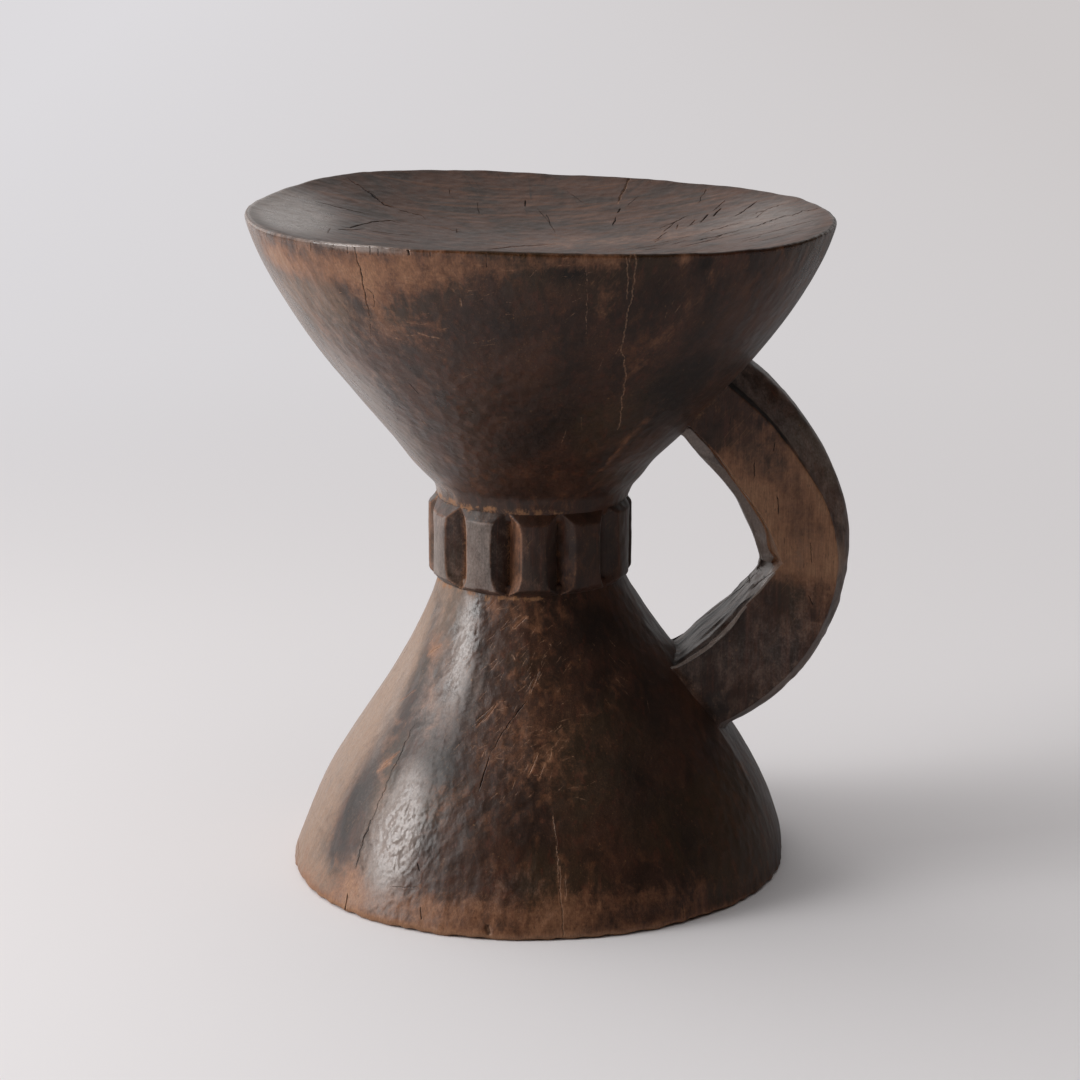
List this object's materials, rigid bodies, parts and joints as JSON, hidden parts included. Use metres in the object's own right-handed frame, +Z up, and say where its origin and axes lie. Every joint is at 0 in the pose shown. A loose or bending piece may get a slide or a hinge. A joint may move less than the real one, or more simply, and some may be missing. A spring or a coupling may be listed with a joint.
{
  "type": "senufo stool",
  "caption": "Low carved wooden stool: a dished round seat bowl and a flared base joined at a narrow waist with a notched collar, with an arched side handle.",
  "frame": {"origin": "middle of the flat underside of the base, on the floor", "axes": "+Z up, +X towards the handle, -Y towards the viewer of the picture"},
  "size_m": [0.3638, 0.359, 0.4118],
  "materials": {
    "carved_wood": "dark hand-rubbed patina over carved hardwood, satin, worn to orange-brown on the edges"
  },
  "bodies": {
    "root": {"seat_bowl": "carved_wood", "waist_neck": "carved_wood", "flared_base": "carved_wood", "arched_handle": "carved_wood", "collar_block_01": "carved_wood", "collar_block_02": "carved_wood", "collar_block_03": "carved_wood", "collar_block_04": "carved_wood", "collar_block_05": "carved_wood", "collar_block_06": "carved_wood", "collar_block_07": "carved_wood", "collar_block_08": "carved_wood", "collar_block_09": "carved_wood", "collar_block_10": "carved_wood", "collar_block_11": "carved_wood"}
  },
  "joints": []
}
